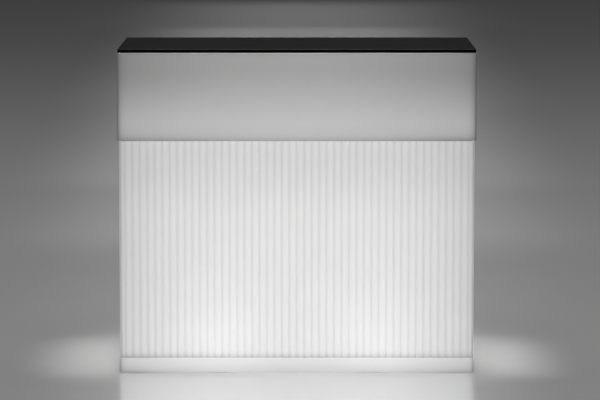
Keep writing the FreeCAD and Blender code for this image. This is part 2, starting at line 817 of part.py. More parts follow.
def bulb_globe(x):
    neck = holder_socket - cap_play
    middle = cap_top + globe_height - globe_radius
    slant = math.sqrt(0.5) * globe_radius
    shape = [(0, cap_top), (neck, cap_top), (neck + neck_flare, cap_top + neck_straight)]
    shape += [(neck + neck_swell, cap_top + 0.45 * (middle - cap_top), "arc"), (globe_radius, middle)]
    shape += [(slant, middle + slant, "arc"), (0, middle + globe_radius)]
    return turned(shape, x, lamp_y)


def lamps(nodes):
    plate_inserts = []
    plate_screws = []
    nuts = []
    for side, x in lamp_points().items():
        nodes[f"lamp_plate_{side}"] = lamp_plate(x)
        nodes[f"lamp_gasket_{side}"] = lamp_gasket(x)
        nodes[f"lamp_holder_{side}"] = lamp_holder(x)
        nodes[f"bulb_cap_{side}"] = bulb_cap(x)
        nodes[f"bulb_globe_{side}"] = bulb_globe(x)
        for sx, sy in plate_screw_points(x):
            plate_inserts.append(insert(small_screw, V(sx, sy, lamp_seat)))
            plate_screws.append(screw(small_screw, V(sx, sy, plate_under), UP))
        under = V(x, lamp_y, plate_under)
        nut = hexagon(nut_across, under, nut_height, DOWN)
        nuts.append(nut.cut(rod(nipple_radius, under, nut_height, DOWN)))
    nodes["lamp_plate_inserts"] = group(plate_inserts)
    nodes["lamp_plate_screws"] = group(plate_screws)
    nodes["lamp_holder_nuts"] = group(nuts)


# ------------------------------------------------------------------ power panel

def panel_sheet(y0, y1):
    # The outline shared by the panel and the soft sheet behind it, with its screw holes.
    sheet = block(about(panel_x, panel_width / 2), (y0, y1), about(panel_z, panel_height / 2))
    sheet = sheet.makeFillet(panel_corner, edges_along(sheet, REAR))
    hole = small_screw["thread"] + screw_hole_play
    return sheet.cut([rod(hole, V(x, y0, z), y1 - y0, REAR) for x, z in panel_screw_points()])


def switch_body():
    depth = (panel_face - switch_depth, panel_face)
    return block(about(switch_x, switch_half_x), depth, about(panel_z, switch_half_z))


def power_panel():
    inlet_hole = rod(inlet_radius, V(inlet_x, panel_back, panel_z), panel_thick, REAR)
    return panel_sheet(panel_back, panel_face).cut([inlet_hole, switch_body()])


def panel_gasket():
    return panel_sheet(pocket_back, panel_back).cut(device_window(pocket_back, panel_back))


def inlet_pin_points():
    points = []
    for i in range(pin_count):
        angle = math.radians(90 + 360 / pin_count * i)
        away = pin_circle * V(math.cos(angle), 0, math.sin(angle))
        points.append(V(inlet_x, inlet_face - well_depth, panel_z) + away)
    return points


def inlet_socket():
    flange = block(about(inlet_x, inlet_flange), (panel_face, inlet_face), about(panel_z, inlet_flange))
    flange = flange.makeFillet(inlet_corner, edges_along(flange, REAR))
    body = flange.fuse(rod(inlet_radius, V(inlet_x, panel_face, panel_z), inlet_length, FRONT))
    lug_top = hinge_z + knuckle_radius
    flange_top = panel_z + inlet_flange
    for side in (-1, 1):
        span = about(inlet_x + side * (knuckle_half + lug_gap + lug_thick / 2), lug_thick / 2)
        body = body.fuse(block(span, (panel_face, inlet_face), (flange_top - lug_root, lug_top)))
        nose = (inlet_face - lug_step, hinge_y + knuckle_radius)
        body = body.fuse(block(span, nose, (flange_top + lug_relief, lug_top)))
    cuts = [rod(well_radius, V(inlet_x, inlet_face, panel_z), well_depth, FRONT)]
    cuts.append(rod(hinge_pin, V(inlet_x - band_x, hinge_y, hinge_z), counter_width, RIGHT))
    cuts += [rod(pin_radius, point, pin_seat, FRONT) for point in inlet_pin_points()]
    return body.cut(cuts)


def cap_pin():
    half = knuckle_half + lug_gap + lug_thick
    return rod(hinge_pin, V(inlet_x - half, hinge_y, hinge_z), 2 * half, RIGHT)


def inlet_cap():
    back = inlet_face + lid_gap
    lid_top = hinge_z - lid_clear
    lid_foot = panel_z - inlet_flange
    lid = block(about(inlet_x, inlet_flange), (back, back + lid_thick), (lid_foot, lid_top))
    lid = lid.makeFillet(inlet_corner, edges_along(lid, REAR))
    tongue = block(about(inlet_x, knuckle_half), (back, back + lid_thick), (lid_top - lug_root, hinge_z))
    knuckle = rod(knuckle_radius, V(inlet_x - knuckle_half, hinge_y, hinge_z), 2 * knuckle_half, RIGHT)
    tab_z = (lid_foot - tab_drop, lid_foot + lug_root)
    tab = block(about(inlet_x, tab_half), (back, back + tab_thick), tab_z)
    bore = rod(hinge_pin + hinge_play, V(inlet_x - band_x, hinge_y, hinge_z), counter_width, RIGHT)
    return lid.fuse([tongue, knuckle, tab]).cut(bore)


def switch_housing():
    bezel = block(about(switch_x, bezel_half_x), (panel_face, bezel_face), about(panel_z, bezel_half_z))
    bezel = bezel.makeFillet(bezel_corner, edges_along(bezel, REAR))
    well_x = about(switch_x, rocker_half_x + rocker_side_play)
    well_z = about(panel_z, rocker_half_z + rocker_end_play)
    well = block(well_x, (bezel_face - rocker_well, bezel_face + 1), well_z)
    half = rocker_half_x + trunnion_length + trunnion_play
    pivot = rod(trunnion_radius + trunnion_play, V(switch_x - half, pivot_y, panel_z), 2 * half, RIGHT)
    return bezel.fuse(switch_body()).cut([well, pivot])


def switch_rocker():
    # Two wings at a shallow angle, tilted so that the upper one is pressed in.
    rise = bezel_face - pivot_y
    tip = rocker_half_z
    side = V(switch_x - rocker_half_x, pivot_y, panel_z)
    crown = rise + rocker_wing
    skirt = rise - rocker_wing
    keel = rocker_keel - rise
    profile = [(crown, -tip), (rise - rocker_dip, 0), (crown, tip), (skirt, tip)]
    profile += [(keel, 0.6 * tip), (keel, -0.6 * tip), (skirt, -tip)]
    body = prism([side + V(0, y, z) for y, z in profile], RIGHT * (2 * rocker_half_x))
    half = rocker_half_x + trunnion_length
    body = body.fuse(rod(trunnion_radius, V(switch_x - half, pivot_y, panel_z), 2 * half, RIGHT))
    body.rotate(V(switch_x, pivot_y, panel_z), RIGHT, rocker_tilt)
    return body


def back_box():
    outer = block(about(panel_x, box_half_x), (box_front, box_rear), about(panel_z, box_half_z))
    inside_x = about(panel_x, box_half_x - box_wall)
    inside_z = about(panel_z, box_half_z - box_wall)
    inside = block(inside_x, (box_front + box_wall, box_rear + 1), inside_z)
    holes = [rod(lead_radius, V(x, box_front, panel_z), box_wall, REAR) for x in lead_starts()]
    return outer.cut([inside] + holes)


def lead_starts():
    return [panel_x - lead_spread, panel_x + lead_spread]


def lead_glands():
    glands = []
    for x in lead_starts():
        base = V(x, box_front, panel_z)
        body = hexagon(gland_across, base, gland_hex, FRONT)
        dome = rod(gland_dome_radius, base + FRONT * gland_hex, gland_dome, FRONT)
        nose = base + FRONT * (gland_hex + gland_dome)
        dome = dome.makeFillet(gland_dome_radius - lead_radius - 0.5, end_edge(dome, nose, FRONT))
        glands.append(body.fuse(dome).cut(rod(lead_radius, base, gland_hex + gland_dome, FRONT)))
    return group(glands)


def power_parts(nodes):
    nodes["power_panel"] = power_panel()
    nodes["panel_gasket"] = panel_gasket()
    corners = panel_screw_points()
    nodes["panel_inserts"] = group([insert(small_screw, V(x, pocket_back, z), FRONT) for x, z in corners])
    nodes["panel_screws"] = group([screw(small_screw, V(x, panel_face, z), FRONT) for x, z in corners])
    nodes["inlet_socket"] = inlet_socket()
    pin_feet = [point + FRONT * pin_seat for point in inlet_pin_points()]
    nodes["inlet_pins"] = group([rod(pin_radius, foot, pin_seat + pin_free, REAR) for foot in pin_feet])
    nodes["inlet_cap"] = inlet_cap()
    nodes["cap_pin"] = cap_pin()
    nodes["switch_housing"] = switch_housing()
    nodes["switch_rocker"] = switch_rocker()
    nodes["back_box"] = back_box()
    nodes["lead_glands"] = lead_glands()


# ------------------------------------------------------------------ internal leads

def bent_tube(points, radius, name):
    # Straight runs joined by arcs as large as the two runs beside each bend allow.
    edges = []
    here = points[0]
    for i in range(1, len(points) - 1):
        into = points[i] - points[i - 1]
        out = points[i + 1] - points[i]
        shorter = min(into.Length, out.Length)
        into.normalize()
        out.normalize()
        half_turn = into.getAngle(out) / 2
        reach = 0.45 * shorter
        bend = reach / math.tan(half_turn)
        start = points[i] - into * reach
        end = points[i] + out * reach
        inward = out - into
        inward.normalize()
        middle = points[i] + inward * (bend / math.cos(half_turn) - bend)
        edges.append(Part.LineSegment(here, start).toShape())
        edges.append(Part.Arc(start, middle, end).toShape())
        here = end
    edges.append(Part.LineSegment(here, points[-1]).toShape())
    path = Part.Wire(edges)
    start_face = Part.Wire([Part.makeCircle(radius, points[0], points[1] - points[0])])
    solid = path.makePipeShell([start_face], True, False)
    expected = math.pi * radius ** 2 * path.Length
    print(name, "length", round(path.Length, 1), "volume over section times length", solid.Volume / expected)
    return solid


def lead_start(x):
    # Straight out of the gland, then down to the floor of the hollow.
    return [
        V(x, box_front, panel_z),
        V(x, box_front - lead_straight, panel_z),
        V(x, box_front - lead_down, lane_z),
    ]


def lead_end(far):
    # Along the floor towards the lamp, up, and level into its holder.
    return [
        V(far, lamp_y + lead_rise_from, lane_z),
        V(far, lamp_y + lead_level_from, entry_z),
        V(far, lamp_y + holder_radius + entry_wall, entry_z),
    ]


def lead_right():
    x = panel_x + lead_spread
    far = lamp_x
    points = lead_start(x)
    points.append(V(x - right_drift, lamp_y + right_turn, lane_z))
    return points + lead_end(far)


def lead_left():
    x = panel_x - lead_spread
    far = -lamp_x
    lane = box_front - left_lane
    points = lead_start(x)
    points += [V(x - left_drift, lane, lane_z), V(far + left_turn, lane - left_slant, lane_z)]
    return points + lead_end(far)


def saddle(point, along):
    # A clip over a lead: a foot on the floor of the hollow, across the lead, and a ring round the lead.
    foot = block(about(0, clip_width / 2), about(0, clip_foot / 2), (floor_top, floor_top + clip_base))
    start = V(-clip_width / 2, 0, lane_z)
    clip = foot.fuse(rod(lead_radius + clip_wall, start, clip_width, RIGHT))
    clip = clip.cut(rod(lead_radius, start, clip_width, RIGHT))
    clip.rotate(V(0, 0, 0), UP, math.degrees(math.atan2(along.y, along.x)))
    clip.translate(V(point.x, point.y, 0))
    return clip


def leads(nodes):
    left = lead_left()
    nodes["lead_left"] = bent_tube(left, lead_radius, "left lead")
    nodes["lead_right"] = bent_tube(lead_right(), lead_radius, "right lead")
    start = left[3]
    end = left[4]
    clips = []
    for share in clip_shares:
        clips.append(saddle(start + (end - start) * share, end - start))
    nodes["lead_clips"] = group(clips)


# ------------------------------------------------------------------ small parts of the body

def vent_plug():
    barrel = rod(vent_radius, V(0, vent_y, floor_gap), wall + vent_grip)
    return barrel.fuse(rod(vent_flange, V(0, vent_y, floor_gap), vent_flange_thick, DOWN))


def link_inserts():
    return group([insert(link_insert, V(x, body_rear, z), FRONT) for x, z in link_points()])


# ------------------------------------------------------------------ the whole counter

def build():
    nodes = {
        "fluted_body": fluted_body(),
        "upper_band": upper_band(),
        "band_seal": band_seal(),
        "worktop": worktop(),
        "vent_plug": vent_plug(),
        "link_inserts": link_inserts(),
    }
    top_fixings(nodes)
    joint_fixings(nodes)
    shelf_supports(nodes)
    feet(nodes)
    lamps(nodes)
    power_parts(nodes)
    leads(nodes)
    return nodes


for node, shape in build().items():
    if not shape.isValid():
        print("not valid:", node)
    shape.exportStep(f"parts/{node}.step")
    print(node, len(shape.Solids), "solids", round(shape.Volume / 1000, 2), "cm3")
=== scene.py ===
import bpy
import bmesh
import math
from mathutils import Matrix, Vector


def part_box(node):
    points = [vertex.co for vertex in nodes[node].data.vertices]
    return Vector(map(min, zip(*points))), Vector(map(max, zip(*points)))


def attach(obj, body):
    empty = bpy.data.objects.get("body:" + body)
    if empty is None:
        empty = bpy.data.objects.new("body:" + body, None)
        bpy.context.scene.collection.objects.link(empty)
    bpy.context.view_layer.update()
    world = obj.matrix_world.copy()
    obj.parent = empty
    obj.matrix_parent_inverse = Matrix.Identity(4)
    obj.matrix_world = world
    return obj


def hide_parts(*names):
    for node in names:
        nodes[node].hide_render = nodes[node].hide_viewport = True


# A lit bar counter: a fluted body and a plain band of white polyethylene with lamps inside, under a top of
# black laminate. Metres. X runs along the counter, -Y is the guests' side, +Y the staff side, +Z up.

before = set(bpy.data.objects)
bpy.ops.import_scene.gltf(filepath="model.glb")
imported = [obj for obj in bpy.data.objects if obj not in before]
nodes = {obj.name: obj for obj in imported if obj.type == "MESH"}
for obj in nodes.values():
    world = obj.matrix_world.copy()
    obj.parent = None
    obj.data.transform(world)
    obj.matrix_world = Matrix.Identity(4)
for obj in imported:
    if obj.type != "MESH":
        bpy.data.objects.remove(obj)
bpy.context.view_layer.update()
print("frame loaded,", len(nodes), "nodes")


def linearColour(hexText):  # sRGB hex to the linear values that the shaders take
    channels = []
    for i in (1, 3, 5):
        v = int(hexText[i:i + 2], 16) / 255
        channels.append(v / 12.92 if v <= 0.04045 else ((v + 0.055) / 1.055) ** 2.4)
    return (*channels, 1.0)


def addNode(tree, kind, settings, inputs):  # an input that is a socket is linked, any other is set
    node = tree.nodes.new(kind)
    for name, value in settings.items():
        setattr(node, name, value)
    for key, value in inputs.items():
        if isinstance(value, bpy.types.NodeSocket):
            tree.links.new(value, node.inputs[key])
        else:
            node.inputs[key].default_value = value
    return node


def newMaterial(name):
    material = bpy.data.materials.new(name)
    material.use_nodes = True
    material.node_tree.nodes.clear()
    return material, material.node_tree


# The camera stands far back with a long lens, a little above the worktop.
camera = {
    "lens": 195.8,   # millimetres, as the sensor is
    "sensor": 36.0,
    "place": (0.0187, -11.1455, 1.8521),
    "down": 6.652,   # degrees below level
    "turn": 0.041,
    "sight": 200.0,  # how far it sees
}


def placeCamera():
    data = bpy.data.cameras.new("camera")
    data.lens = camera["lens"]
    data.sensor_width = camera["sensor"]
    data.clip_end = camera["sight"]
    obj = bpy.data.objects.new("camera", data)
    obj.location = camera["place"]
    obj.rotation_euler = (math.radians(90 - camera["down"]), 0, math.radians(camera["turn"]))
    bpy.context.scene.collection.objects.link(obj)
    bpy.context.scene.camera = obj


placeCamera()
print("camera placed")


# A pale floor in satin paint, which mirrors the counter softly, and a soft studio: a wide softbox overhead,
# gridded ones that make a soft pool of light on the floor around the counter and behind it, and a dome that
# darkens towards the horizon. The lamps shine down, and the two at the ends lean in a little, so that the
# pool reaches the foot of the counter.
studio = {
    "floorColour": "#c8c8c8",
    "floorRadius": 90.0,
    "floorSides": 96,
    "floorDrop": 0.0002,     # a hair under the pads, so that the two faces don't share a plane
    "floorRoughness": 0.12,
    "floorSpecular": 1.0,
    "domeLow": 0.04,
    "domeHigh": 0.14,
    "domeRise": 0.9,         # share of the way up at which the dome has its full light
    "lamps": (               # name, place, lean, size, spread and watts, with the angles in degrees
        ("softbox", (0, 2, 12), 0, (10.0, 10.0), 180, 915.0),
        ("gridBox", (0, -0.15, 3), 0, (1.2, 1.8), 15, 4.2),
        ("gridBoxLeft", (-1.13, 0.03, 3), -8.5, (0.25, 0.75), 8, 0.52),
        ("gridBoxRight", (1.13, 0.03, 3), 8.5, (0.25, 0.75), 8, 0.52),
    ),
    "backHeight": 3.0,
    "backBoxes": (           # a row over the floor behind: near edge, far edge, width, spread, watts per m2
        (0.9, 3.0, 1.6, 20, 0.7),
        (3.0, 5.4, 1.9, 24, 1.5),
        (5.4, 10.0, 2.2, 22, 1.65),
        (10.0, 18.0, 2.1, 30, 2.2),
        (18.0, 22.0, 2.1, 46, 1.45),
    ),
}


def buildStudio():
    mesh = bpy.data.meshes.new("floor")
    shape = bmesh.new()
    bmesh.ops.create_circle(shape, cap_ends=True, segments=studio["floorSides"], radius=studio["floorRadius"])
    shape.to_mesh(mesh)
    shape.free()
    floor = bpy.data.objects.new("floor", mesh)
    floor.location.z = -studio["floorDrop"]
    bpy.context.scene.collection.objects.link(floor)
    material, tree = newMaterial("paintedFloor")
    paint = addNode(tree, "ShaderNodeBsdfPrincipled", {}, {
        "Base Color": linearColour(studio["floorColour"]),
        "Roughness": studio["floorRoughness"],
        "Specular IOR Level": studio["floorSpecular"],
    })
    addNode(tree, "ShaderNodeOutputMaterial", {}, {"Surface": paint.outputs["BSDF"]})
    mesh.materials.append(material)

    world = bpy.data.worlds.new("studioDome")
    bpy.context.scene.world = world
    world.use_nodes = True
    tree = world.node_tree
    tree.nodes.clear()
    place = addNode(tree, "ShaderNodeTexCoord", {}, {})
    split = addNode(tree, "ShaderNodeSeparateXYZ", {}, {"Vector": place.outputs["Generated"]})
    height = addNode(tree, "ShaderNodeMapRange", {"interpolation_type": "SMOOTHSTEP"}, {
        "Value": split.outputs["Z"], "From Min": 0.0, "From Max": studio["domeRise"],
        "To Min": studio["domeLow"], "To Max": studio["domeHigh"],
    })
    sky = addNode(tree, "ShaderNodeBackground", {}, {"Strength": height.outputs["Result"]})
    addNode(tree, "ShaderNodeOutputWorld", {}, {"Surface": sky.outputs["Background"]})

    lamps = list(studio["lamps"])
    for near, far, width, spread, density in studio["backBoxes"]:
        place = (0, (near + far) / 2, studio["backHeight"])
        size = (width, far - near)
        lamps.append(("backBox", place, 0, size, spread, density * width * (far - near)))
    for name, place, lean, size, spread, watts in lamps:
        light = bpy.data.lights.new(name, "AREA")
        light.shape = "RECTANGLE"
        light.size, light.size_y = size
        light.spread = math.radians(spread)
        light.energy = watts
        box = bpy.data.objects.new(name, light)
        box.location = place
        box.rotation_euler.y = math.radians(lean)
        bpy.context.scene.collection.objects.link(box)
    bpy.context.scene.view_settings.view_transform = "Standard"


buildStudio()
print("studio built")


noiseLow, noiseHigh = 0.3, 0.7     # nearly all of a noise texture's values lie between these

# White polyethylene, rotationally moulded, with lamps behind it. The wall scatters the light that comes
# through, so the eye sees a soft even glow without an edge, weaker where the wall is thick or a lamp is far.
# The glow is painted into the surface as emission, set by place, with painted shade worked into it.
plastic = {
    "colour": "#949493",     # what it sends back of the light that falls on it, the rest goes in
    "roughness": 0.48,
    "specular": 0.35,
    "rearY": 0.3,            # the staff side
    "rearShare": 0.9,        # brightness of the staff side against the guests' side
    "seam": 0.0002,          # the painted shade over the plinth or the joint starts this far above it
    "mottleSize": 0.09,      # cloudiness from uneven wall thickness
    "mottle": 0.012,
    "peelSize": 0.004,       # orange peel, drawn coarse enough to show
    "peelDepth": 0.00006,
}
bodyGlow = {
    "name": "litPolyethyleneBody",
    "frontY": -0.2945, "halfWidth": 0.5945,
    "zLow": 0.5, "zHigh": 0.735, "fade": "SMOOTHSTEP",     # between these heights the glow fades upwards
    "lightLow": 0.71, "lightHigh": 0.62,
    "endPower": 3.5, "endLossLow": 0.26, "endLossHigh": 0.24,
    "edgeZ": 0.051, "edgeWidth": 0.009, "junctionShade": 0.42, "junctionShadeEnds": 0.35,
    "cornerWidth": 0.005, "cornerLossAndShade": 0.8,
    "hotspot": {"lamp": (0.27, -0.215, 0.1), "light": 0.15, "spread": 20.0},
    "foot": {"top": 0.072, "share": 0.74},
    "floorContactShade": {"width": 0.008, "paintedShade": 0.1, "ends": 5.5},
    "under": {"width": 0.008, "gain": 0.85, "fullZ": -0.95, "noneZ": -0.6},     # Z of the face's normal
    "groove": {"depth": 0.005, "paintedShade": 0.22},
}
bandGlow = {
    "name": "litPolyethyleneBand",
    "frontY": -0.3, "halfWidth": 0.6,
    "zLow": 0.85, "zHigh": 1.015, "fade": "LINEAR",
    "lightLow": 0.45, "lightHigh": 0.29,
    "endPower": 2.0, "endLossLow": 0.24, "endLossHigh": 0.43,
    "edgeZ": 0.786, "edgeWidth": 0.0115, "junctionShade": 0.33, "junctionShadeEnds": 0.9,
    "cornerWidth": 0.0085, "cornerLossAndShade": 1.0,
    "rim": {"z": 1.08, "width": 0.002, "paintedShade": 0.6},       # painted shade just under the worktop
}


def nearness(tree, distance, width):  # one at no distance, and about a third of it one width away
    widths = addNode(tree, "ShaderNodeMath", {"operation": "DIVIDE"}, {0: distance, 1: -width})
    return addNode(tree, "ShaderNodeMath", {"operation": "EXPONENT"}, {0: widths.outputs[0]}).outputs[0]


def litPolyethylene(glow):
    material, tree = newMaterial(glow["name"])
    place = addNode(tree, "ShaderNodeTexCoord", {}, {}).outputs["Object"]
    x, y, z = addNode(tree, "ShaderNodeSeparateXYZ", {}, {"Vector": place}).outputs
    across = addNode(tree, "ShaderNodeMath", {"operation": "ABSOLUTE"}, {0: x}).outputs[0]
    light = addNode(tree, "ShaderNodeMapRange", {"interpolation_type": glow["fade"]}, {
        "Value": z, "From Min": glow["zLow"], "From Max": glow["zHigh"],
        "To Min": glow["lightLow"], "To Max": glow["lightHigh"],
    }).outputs["Result"]

    if "hotspot" in glow:  # a soft bright spot over each of two lamps, left and right
        mirrored = addNode(tree, "ShaderNodeCombineXYZ", {}, {"X": across, "Y": y, "Z": z})
        away = addNode(tree, "ShaderNodeVectorMath", {"operation": "DISTANCE"}, {
            0: mirrored.outputs[0], 1: glow["hotspot"]["lamp"],
        }).outputs["Value"]
        awaySquare = addNode(tree, "ShaderNodeMath", {"operation": "MULTIPLY"}, {0: away, 1: away})
        spread = addNode(tree, "ShaderNodeMath", {"operation": "MULTIPLY_ADD"}, {
            0: awaySquare.outputs[0], 1: glow["hotspot"]["spread"], 2: 1.0,
        })
        spot = addNode(tree, "ShaderNodeMath", {"operation": "POWER"}, {0: spread.outputs[0], 1: -2.0})
        light = addNode(tree, "ShaderNodeMath", {"operation": "MULTIPLY_ADD"}, {
            0: spot.outputs[0], 1: glow["hotspot"]["light"], 2: light,
        }).outputs[0]

    # towards both ends
    share = addNode(tree, "ShaderNodeMath", {"operation": "DIVIDE"}, {0: across, 1: glow["halfWidth"]})
    bend = addNode(tree, "ShaderNodeMath", {"operation": "POWER"}, {
        0: share.outputs[0], 1: glow["endPower"],
    }).outputs[0]
    endLoss = addNode(tree, "ShaderNodeMapRange", {"interpolation_type": "SMOOTHSTEP"}, {
        "Value": z, "From Min": glow["zLow"], "From Max": glow["zHigh"],
        "To Min": -glow["endLossLow"], "To Max": -glow["endLossHigh"],
    })
    ends = addNode(tree, "ShaderNodeMath", {"operation": "MULTIPLY_ADD"}, {
        0: bend, 1: endLoss.outputs["Result"], 2: 1.0,
    })

    # towards the staff side
    rear = addNode(tree, "ShaderNodeMapRange", {}, {
        "Value": y, "From Min": glow["frontY"], "From Max": plastic["rearY"],
        "To Min": 1.0, "To Max": plastic["rearShare"],
    })
    factors = [ends, rear]

    if "foot" in glow:  # painted shade, darker down the plinth towards the floor
        factors.append(addNode(tree, "ShaderNodeMapRange", {}, {
            "Value": z, "From Min": 0.0, "From Max": glow["foot"]["top"],
            "To Min": glow["foot"]["share"], "To Max": 1.0,
        }))
    if "floorContactShade" in glow:  # painted shade along the lowest edge, where it meets the floor, most of all at both ends
        contactShadeAmount = addNode(tree, "ShaderNodeMath", {"operation": "MULTIPLY_ADD"}, {
            0: bend, 1: -glow["floorContactShade"]["paintedShade"] * glow["floorContactShade"]["ends"], 2: -glow["floorContactShade"]["paintedShade"],
        })
        factors.append(addNode(tree, "ShaderNodeMath", {"operation": "MULTIPLY_ADD"}, {
            0: nearness(tree, z, glow["floorContactShade"]["width"]), 1: contactShadeAmount.outputs[0], 2: 1.0,
        }))
    if "under" in glow:  # brighter underneath, where the lamps stand close
        surface = addNode(tree, "ShaderNodeNewGeometry", {}, {})
        facing = addNode(tree, "ShaderNodeSeparateXYZ", {}, {"Vector": surface.outputs["Normal"]})
        isDown = addNode(tree, "ShaderNodeMapRange", {}, {
            "Value": facing.outputs["Z"],
            "From Min": glow["under"]["fullZ"], "From Max": glow["under"]["noneZ"],
            "To Min": glow["under"]["gain"], "To Max": 0.0,
        })
        factors.append(addNode(tree, "ShaderNodeMath", {"operation": "MULTIPLY_ADD"}, {
            0: isDown.outputs["Result"], 1: nearness(tree, z, glow["under"]["width"]), 2: 1.0,
        }))

    # painted shade just over the plinth or the joint, where two walls meet
    over = addNode(tree, "ShaderNodeMath", {"operation": "SUBTRACT"}, {0: z, 1: glow["edgeZ"]}).outputs[0]
    isOver = addNode(tree, "ShaderNodeMath", {"operation": "GREATER_THAN"}, {0: over, 1: plastic["seam"]})
    overNear = addNode(tree, "ShaderNodeMath", {"operation": "MULTIPLY"}, {
        0: nearness(tree, over, glow["edgeWidth"]), 1: isOver.outputs[0],
    })
    junctionShade = addNode(tree, "ShaderNodeMath", {"operation": "MULTIPLY_ADD"}, {
        0: bend, 1: -glow["junctionShade"] * glow["junctionShadeEnds"], 2: -glow["junctionShade"],
    })
    factors.append(addNode(tree, "ShaderNodeMath", {"operation": "MULTIPLY_ADD"}, {
        0: overNear.outputs[0], 1: junctionShade.outputs[0], 2: 1.0,
    }))

    # dimmer round the upright corners, partly where the wall is thicker and partly painted shade where the
    # face turns away from the light, and painted shade in the grooves between the flutes
    inX = addNode(tree, "ShaderNodeMath", {"operation": "SUBTRACT"}, {
        0: glow["halfWidth"], 1: across,
    }).outputs[0]
    inY = addNode(tree, "ShaderNodeMath", {"operation": "SUBTRACT"}, {0: y, 1: glow["frontY"]}).outputs[0]
    farther = addNode(tree, "ShaderNodeMath", {"operation": "MAXIMUM"}, {0: inX, 1: inY})
    factors.append(addNode(tree, "ShaderNodeMath", {"operation": "MULTIPLY_ADD"}, {
        0: nearness(tree, farther.outputs[0], glow["cornerWidth"]), 1: -glow["cornerLossAndShade"], 2: 1.0,
    }))
    if "groove" in glow:
        nearer = addNode(tree, "ShaderNodeMath", {"operation": "MINIMUM"}, {0: inX, 1: inY})
        factors.append(addNode(tree, "ShaderNodeMapRange", {}, {
            "Value": nearer.outputs[0], "From Min": 0.0, "From Max": glow["groove"]["depth"],
            "To Min": 1.0, "To Max": 1 - glow["groove"]["paintedShade"],
        }))
    # painted shade in a narrow strip just under the worktop
    if "rim" in glow:
        belowRim = addNode(tree, "ShaderNodeMath", {"operation": "SUBTRACT"}, {0: glow["rim"]["z"], 1: z})
        factors.append(addNode(tree, "ShaderNodeMath", {"operation": "MULTIPLY_ADD"}, {
            0: nearness(tree, belowRim.outputs[0], glow["rim"]["width"]), 1: -glow["rim"]["paintedShade"], 2: 1.0,
        }))

    clouds = addNode(tree, "ShaderNodeTexNoise", {}, {
        "Vector": place, "Scale": 1 / plastic["mottleSize"], "Detail": 2.0, "Roughness": 0.5,
    })
    factors.append(addNode(tree, "ShaderNodeMapRange", {}, {
        "Value": clouds.outputs["Fac"], "From Min": noiseLow, "From Max": noiseHigh,
        "To Min": 1 - plastic["mottle"], "To Max": 1 + plastic["mottle"],
    }))
    for factor in factors:
        light = addNode(tree, "ShaderNodeMath", {"operation": "MULTIPLY"}, {
            0: light, 1: factor.outputs[0],
        }).outputs[0]

    peel = addNode(tree, "ShaderNodeTexNoise", {}, {
        "Vector": place, "Scale": 1 / plastic["peelSize"], "Detail": 1.0, "Roughness": 0.4,
    })
    bump = addNode(tree, "ShaderNodeBump", {}, {
        "Height": peel.outputs["Fac"], "Distance": plastic["peelDepth"], "Strength": 1.0,
    })
    shell = addNode(tree, "ShaderNodeBsdfPrincipled", {}, {
        "Base Color": linearColour(plastic["colour"]),
        "Roughness": plastic["roughness"],
        "Specular IOR Level": plastic["specular"],
        "Emission Color": light,
        "Emission Strength": 1.0,
        "Normal": bump.outputs["Normal"],
    })
    addNode(tree, "ShaderNodeOutputMaterial", {}, {"Surface": shell.outputs["BSDF"]})
    return material


def grained(tree, pattern, finish, depth):  # where the pattern is high the surface is rougher and stands out
    rough = addNode(tree, "ShaderNodeMapRange", {}, {
        "Value": pattern, "From Min": noiseLow, "From Max": noiseHigh,
        "To Min": finish["roughness"] - finish["roughSpread"],
        "To Max": finish["roughness"] + finish["roughSpread"],
    })
    bump = addNode(tree, "ShaderNodeBump", {}, {"Height": pattern, "Distance": depth, "Strength": 1.0})
    return {"Roughness": rough.outputs["Result"], "Normal": bump.outputs["Normal"]}


# Compact laminate: paper and resin pressed at high heat, black right through. Its embossed face spreads the
# highlights, so the eye sees a deep matt black that only lightens at a low angle.
laminate = {
    "colour": "#0a0a0a",
    "roughness": 0.42,
    "roughSpread": 0.05,
    "specular": 0.10,
    "grainSize": 0.0035,     # the real embossing is under 0.5 mm, too fine to show, so it is drawn coarser
    "grainDepth": 0.00006,
}


def pressedLaminate():
    material, tree = newMaterial("blackCompactLaminate")
    place = addNode(tree, "ShaderNodeTexCoord", {}, {}).outputs["Object"]
    grain = addNode(tree, "ShaderNodeTexNoise", {}, {
        "Vector": place, "Scale": 1 / laminate["grainSize"], "Detail": 3.0, "Roughness": 0.6,
    }).outputs["Fac"]
    sheet = addNode(tree, "ShaderNodeBsdfPrincipled", {}, {
        "Base Color": linearColour(laminate["colour"]),
        "Specular IOR Level": laminate["specular"],
        **grained(tree, grain, laminate, laminate["grainDepth"]),
    })
    addNode(tree, "ShaderNodeOutputMaterial", {}, {"Surface": sheet.outputs["BSDF"]})
    return material


# Small mouldings. The mould's surface gives the look: spark-eroded steel leaves a fine even grain that turns
# the shine into a soft sheen, and polished steel leaves gloss.
flowSize = 0.0166667     # a slow change of tone, from the way the melt ran
nylon = {  # injection moulded nylon: glands, clips, pads
    "name": "mouldedNylon", "colour": "#1b1b1c", "pale": "#262627", "ior": 1.53,
    "roughness": 0.5, "roughSpread": 0.06, "grainSize": 0.001, "grainDepth": 0.00003,
}
polycarbonate = {  # spark-textured polycarbonate: panel, inlet, switch housing, back box
    "name": "sparkTexturedPolycarbonate", "colour": "#202022", "pale": "#2b2b2e", "ior": 1.58,
    "roughness": 0.42, "roughSpread": 0.05, "grainSize": 0.0008, "grainDepth": 0.00003,
}
lidPlastic = {  # polycarbonate lid with a satin polish
    "name": "satinPolycarbonateLid", "colour": "#7b7e80", "pale": "#878a8c", "ior": 1.58,
    "roughness": 0.3, "roughSpread": 0.03, "grainSize": 0.0006, "grainDepth": 0.00001,
}
rockerPlastic = {  # polished nylon rocker
    "name": "polishedRockerNylon", "colour": "#161617", "pale": "#1b1b1c", "ior": 1.53,
    "roughness": 0.18, "roughSpread": 0.03, "grainSize": 0.002, "grainDepth": 0.000004,
}
